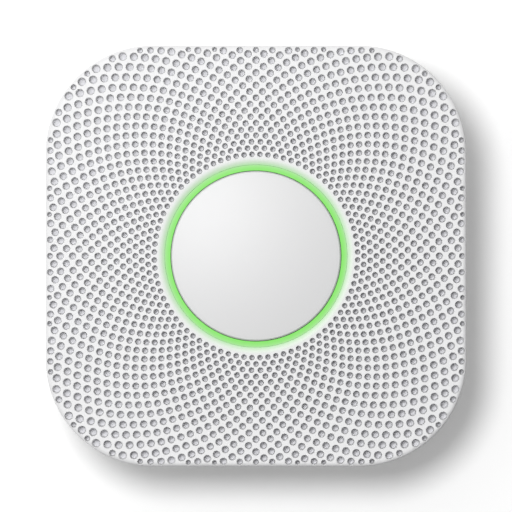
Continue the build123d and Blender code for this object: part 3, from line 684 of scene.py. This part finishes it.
def ring_glow():
    """Light guide lit green from below; its light leaves by the top face, greenest at the button."""
    made = Shader("ring_glow", 0.35)
    made.color(made.ramp(made.noise(0.4), [(0.3, (0.02, 0.06, 0.015)), (0.7, (0.03, 0.08, 0.02))]))
    across = made.to_range(made.radius(), *RING_GLOW, 0.0, 1.0)
    glow = made.ramp(across, [(0.0, (0.20, 0.72, 0.11)), (0.4, (0.24, 0.71, 0.15)),
                              (0.75, (0.30, 0.70, 0.22)), (1.0, (0.40, 0.71, 0.34))])
    low, high = [ring_high.z / MM - depth for depth in RING_GLOW_DEPTH]
    top_only = made.to_range(made.axis(2), low, high, RING_SIDE_GLOW, 1.0)
    made.link(glow, made.surface.inputs["Emission Color"])
    made.link(top_only, made.surface.inputs["Emission Strength"])
    made.surface.inputs["Specular IOR Level"].default_value = 0.15
    return made.material


def woven_screen():
    """Fine plain weave, threads 0.1 mm wide."""
    made = Shader("woven_screen", 0.6)
    waves = []
    for direction in ("X", "Y"):
        wave = made.node("ShaderNodeTexWave", bands_direction=direction, Scale=1.6)
        made.link(made.place, wave.inputs["Vector"])
        waves.append(wave.outputs["Fac"])
    weave = made.math("MAXIMUM", waves[0], waves[1])
    made.color(made.ramp(weave, [(0.0, (0.64, 0.64, 0.665)), (1.0, (0.72, 0.72, 0.75))]))
    made.bump(weave, 0.03, 0.6)
    return made.material


def metal(name, color, roughness=0.3, stretch=None, scale=1.5):
    made = Shader(name, roughness, 1.0)
    grain = made.noise(scale, 5.0, 0.6, stretch)
    made.color(made.ramp(grain, [(0.3, shade(color, 0.92)), (0.7, shade(color, 1.06))]))
    made.vary_roughness(grain, roughness - 0.07, roughness + 0.1)
    made.bump(grain, 0.003)
    return made.material


def circuit_board():
    """Green solder mask over copper tracks and ground fill."""
    made = Shader("circuit_board", 0.34)
    tracks = made.node("ShaderNodeTexBrick", Scale=0.35, offset=0.5)
    tracks.inputs["Mortar Size"].default_value = 0.06
    made.link(made.place, tracks.inputs["Vector"])
    made.color(made.ramp(tracks.outputs["Fac"], [(0.4, (0.012, 0.085, 0.04)), (0.6, (0.02, 0.14, 0.06))]))
    made.bump(tracks.outputs["Fac"], 0.03)
    made.surface.inputs["Coat Weight"].default_value = 0.4
    return made.material


def battery_jacket():
    """Metal-look sleeve with dark ends."""
    made = Shader("battery_jacket", 0.3, 0.75)
    band = made.math("GREATER_THAN", made.math("ABSOLUTE", made.axis(1)), SILVER_HALF)
    grain = made.noise(0.8, 4.0, 0.6, (6.0, 0.4, 6.0))
    silver = made.ramp(grain, [(0.3, (0.52, 0.54, 0.57)), (0.7, (0.64, 0.66, 0.69))])
    dark = made.ramp(grain, [(0.3, (0.055, 0.065, 0.085)), (0.7, (0.08, 0.09, 0.115))])
    mix = made.node("ShaderNodeMix", data_type="RGBA")
    made.link(band, mix.inputs["Factor"])
    color_a, color_b, color_result = mix.inputs[6], mix.inputs[7], mix.outputs[2]
    made.link(silver, color_a)
    made.link(dark, color_b)
    made.color(color_result)
    made.bump(grain, 0.004)
    return made.material


def resin(name, color, transmission):
    made = Shader(name, 0.12, ior=1.52)
    made.color(made.ramp(made.noise(0.3), [(0.3, shade(color, 0.95)), (0.7, shade(color, 1.04))]))
    made.surface.inputs["Transmission Weight"].default_value = transmission
    made.vary_roughness(made.noise(2.0), 0.08, 0.16)
    return made.material


def soft(name, color, roughness, scale, depth):
    made = Shader(name, roughness)
    grain = made.noise(scale, 5.0, 0.65)
    made.color(made.ramp(grain, [(0.25, shade(color, 0.8)), (0.75, shade(color, 1.2))]))
    made.vary_roughness(grain, roughness - 0.06, roughness + 0.08)
    made.bump(grain, depth)
    return made.material


MATERIALS = {
    "front_white": front_plastic(),
    "button_white": button_plastic(),
    "rear_white": moulded("rear_plastic", (0.77, 0.77, 0.765), 0.5, 5.0, 0.006, 0.01).material,
    "backplate_white": moulded("backplate_plastic", (0.74, 0.74, 0.73), 0.55, 4.0, 0.009, 0.012).material,
    "steel": metal("zinc_steel", (0.58, 0.59, 0.60), 0.32),
    "screen_grey": woven_screen(),
    "light_ring_green": ring_glow(),
    "lens_sheet": resin("lens_sheet", (0.86, 0.87, 0.88), 0.35),
    "inner_white": moulded("inner_plastic", (0.70, 0.70, 0.69), 0.5).material,
    "spring_steel": metal("spring_wire", (0.60, 0.60, 0.61), 0.22),
    "board_green": circuit_board(),
    "led_white": resin("led_resin", (0.85, 0.86, 0.72), 0.2),
    "black_plastic": moulded("black_plastic", (0.022, 0.022, 0.024), 0.45, 4.0, 0.006, 0.15).material,
    "sensor_window": resin("sensor_window", (0.05, 0.045, 0.06), 0.1),
    "plunger_plastic": moulded("plunger_plastic", (0.62, 0.58, 0.50), 0.4).material,
    "shield_steel": metal("tinned_sheet", (0.66, 0.66, 0.67), 0.36, (1.0, 6.0, 1.0)),
    "ferrite": soft("ferrite", (0.05, 0.05, 0.055), 0.6, 3.0, 0.02),
    "copper": metal("enamelled_copper", (0.62, 0.28, 0.12), 0.28, (0.5, 0.5, 8.0)),
    "clear_resin": resin("clear_resin", (0.80, 0.84, 0.88), 0.8),
    "dark_resin": resin("dark_resin", (0.05, 0.04, 0.06), 0.15),
    "sensor_grey": moulded("sensor_plastic", (0.36, 0.37, 0.38), 0.45).material,
    "brass": metal("rolled_brass", (0.70, 0.50, 0.20), 0.26, (1.0, 8.0, 1.0)),
    "ceramic": soft("silvered_ceramic", (0.60, 0.60, 0.57), 0.35, 2.0, 0.004),
    "cone_paper": soft("coated_paper", (0.035, 0.035, 0.036), 0.75, 2.5, 0.03),
    "rubber": soft("butyl_rubber", (0.03, 0.03, 0.03), 0.5, 1.5, 0.01),
    "foam_black": soft("closed_cell_foam", (0.045, 0.045, 0.045), 0.9, 3.5, 0.06),
    "nickel": metal("nickel_sheet", (0.66, 0.64, 0.60), 0.25, (6.0, 1.0, 1.0)),
    "battery_can": battery_jacket(),
}


def paint_cad_nodes():
    """Every CAD node takes the material of its slot in the record."""
    for row in frame["record"]["subparts"]:
        mesh = nodes[row["node"]].data
        mesh.materials.clear()
        mesh.materials.append(MATERIALS[row["material_slot"]])


# ================================================================ object
paint_cad_nodes()
grille_cover(MATERIALS["front_white"])
dust_screen(MATERIALS["screen_grey"])
light_guide(MATERIALS["light_ring_green"])
domed_button(MATERIALS["button_white"])
return_springs()
rubber_surround()


# ================================================================ stage
def floor():
    """White paper, only for the eye and only from above: all other light passes it, and so does a view of
    the alarm's rear."""
    mesh = bpy.data.meshes.new("floor")
    corners = [(x * FLOOR_HALF, y * FLOOR_HALF, 0) for x, y in ((-1, -1), (1, -1), (1, 1), (-1, 1))]
    mesh.from_pydata(corners, [], [(0, 1, 2, 3)])
    piece = bpy.data.objects.new("floor", mesh)
    bpy.context.scene.collection.objects.link(piece)
    made = Shader("floor_paper", 0.9)
    made.color(made.ramp(made.noise(0.01), [(0.3, (0.93, 0.93, 0.93)), (0.7, (0.95, 0.95, 0.95))]))
    made.surface.inputs["Specular IOR Level"].default_value = 0.0
    geometry = made.tree.nodes.new("ShaderNodeNewGeometry")
    path = made.tree.nodes.new("ShaderNodeLightPath")
    from_above = made.math("SUBTRACT", 1.0, geometry.outputs["Backfacing"])
    paper = made.math("MULTIPLY", path.outputs["Is Camera Ray"], from_above)
    clear = made.tree.nodes.new("ShaderNodeBsdfTransparent")
    mix = made.tree.nodes.new("ShaderNodeMixShader")
    made.link(paper, mix.inputs[0])
    made.link(clear.outputs[0], mix.inputs[1])
    made.link(made.surface.outputs[0], mix.inputs[2])
    made.link(mix.outputs[0], made.output.inputs["Surface"])
    mesh.materials.append(made.material)


def area_light(name, place, target, size, power):
    """Round soft light aimed at a point."""
    light = bpy.data.lights.new(name, "AREA")
    light.shape = "DISK"
    light.size = size
    light.energy = power
    lamp = bpy.data.objects.new(name, light)
    lamp.location = place
    lamp.rotation_euler = (Vector(target) - Vector(place)).to_track_quat("-Z", "Y").to_euler()
    bpy.context.scene.collection.objects.link(lamp)


def world(above, below, lean):
    """Soft white surround, brighter towards the upper left by a share called lean."""
    made = bpy.data.worlds.new("studio")
    made.use_nodes = True
    tree = made.node_tree
    background = tree.nodes["Background"]
    background.inputs["Color"].default_value = (1.0, 1.0, 1.0, 1.0)
    coordinates = tree.nodes.new("ShaderNodeTexCoord")
    towards = tree.nodes.new("ShaderNodeVectorMath")
    towards.operation = "DOT_PRODUCT"
    towards.inputs[1].default_value = (-0.707, 0.707, 0.0)
    share = tree.nodes.new("ShaderNodeMath")
    share.operation = "MULTIPLY_ADD"
    share.inputs[1].default_value = lean
    share.inputs[2].default_value = 1.0
    parts = tree.nodes.new("ShaderNodeSeparateXYZ")
    base = tree.nodes.new("ShaderNodeMapRange")
    for key, number in (("From Min", -HORIZON), ("From Max", HORIZON), ("To Min", below), ("To Max", above)):
        base.inputs[key].default_value = number
    level = tree.nodes.new("ShaderNodeMath")
    level.operation = "MULTIPLY"
    tree.links.new(coordinates.outputs["Generated"], towards.inputs[0])
    tree.links.new(coordinates.outputs["Generated"], parts.inputs[0])
    tree.links.new(parts.outputs["Z"], base.inputs["Value"])
    tree.links.new(towards.outputs["Value"], share.inputs[0])
    tree.links.new(share.outputs[0], level.inputs[0])
    tree.links.new(base.outputs["Result"], level.inputs[1])
    tree.links.new(level.outputs[0], background.inputs["Strength"])
    bpy.context.scene.world = made


def camera():
    """Straight above the front, +Y up, a long way off."""
    data = bpy.data.cameras.new("camera")
    data.sensor_width = 36
    data.lens = data.sensor_width * (CAMERA_HEIGHT - FACE_Z) / VIEW_WIDTH
    eye = bpy.data.objects.new("camera", data)
    eye.location = (0, 0, CAMERA_HEIGHT)
    bpy.context.scene.collection.objects.link(eye)
    bpy.context.scene.camera = eye


floor()
area_light("key", KEY_PLACE, (0, 0, FACE_Z), KEY_SIZE, KEY_POWER)
world(SKY_ABOVE, SKY_BELOW, SKY_LEAN)
camera()
bpy.context.scene.view_settings.view_transform = "Standard"
